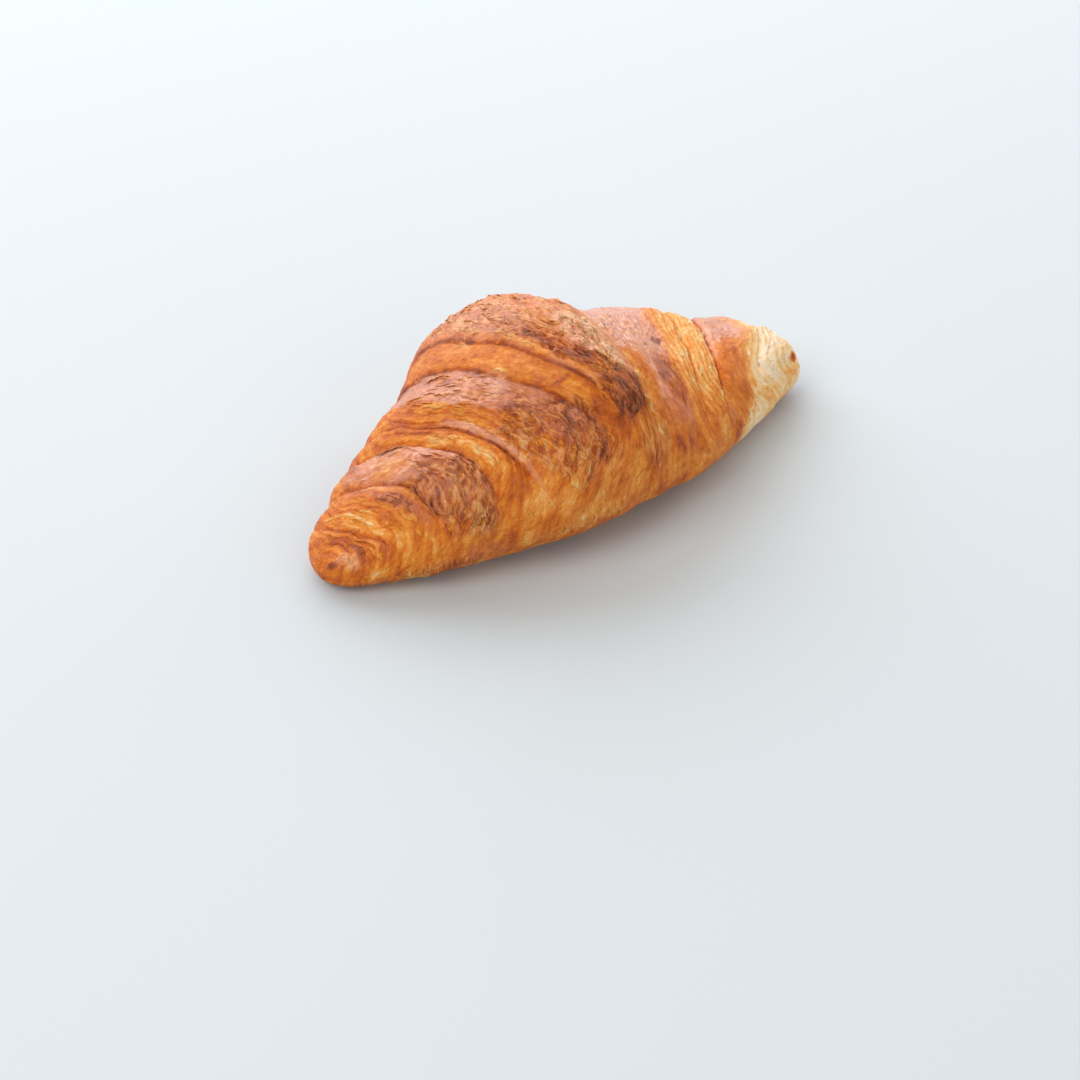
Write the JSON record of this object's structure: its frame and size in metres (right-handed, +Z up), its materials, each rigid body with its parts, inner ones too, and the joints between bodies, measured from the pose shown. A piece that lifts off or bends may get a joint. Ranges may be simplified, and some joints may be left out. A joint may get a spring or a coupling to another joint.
{
  "type": "croissant",
  "caption": "Butter croissant, a baked roll of laminated dough with stepped wraps, tapered ends and a raised tongue over the top; rests on its flat base.",
  "frame": {"origin": "middle of the footprint, on the surface that the croissant lies on", "axes": "+X along the roll, towards the slimmer and paler end; -Y the front, where the tongue ends; +Z up"},
  "size_m": [0.16, 0.0795, 0.0545],
  "materials": {
    "crust": "baked laminated pastry, golden brown, egg-washed satin sheen on the wraps"
  },
  "bodies": {
    "root": {"croissant": "crust"}
  },
  "joints": []
}
